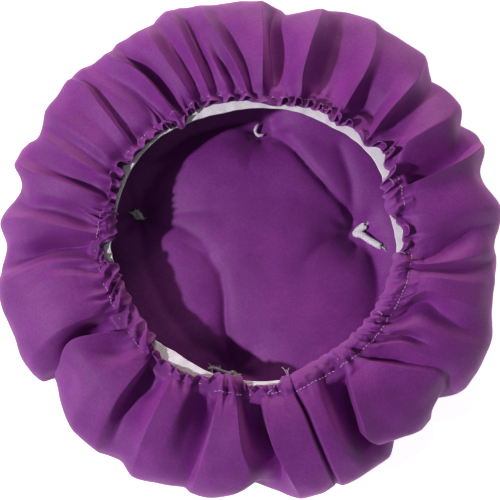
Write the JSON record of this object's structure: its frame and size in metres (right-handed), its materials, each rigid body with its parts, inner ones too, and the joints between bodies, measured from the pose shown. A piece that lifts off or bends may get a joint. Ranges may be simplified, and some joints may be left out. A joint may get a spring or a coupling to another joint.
{
  "type": "round bar stool cushion with an elasticated skirt",
  "caption": "Round stool cushion lying on its seat face: a tufted filled pad inside a puffy gathered skirt that curves in to an elastic hem, so that it can be pulled over a stool's round seat.",
  "frame": {"origin": "centre of the pad's seat face where it lies flat, 0 mm high; +Z up through the mouth", "axes": "+Z is the cushion's axis, out of the mouth; +X is the picture's right; +Y is away from the viewer, the picture's top"},
  "size_m": [0.365, 0.3638, 0.0813],
  "materials": {
    "purple_cloth": "matt, fine plain-woven polyester cloth, softly creased",
    "white_elastic": "matt, woven flat elastic with fine lengthwise ribs",
    "white_yarn": "matt, soft loosely twisted yarn with frayed ends"
  },
  "bodies": {
    "root": {"pad": "purple_cloth", "skirt": "purple_cloth", "elastic": "white_elastic", "tie_back": "white_yarn", "tie_right": "white_yarn", "tie_front": "white_yarn", "tie_left": "white_yarn"}
  },
  "joints": []
}
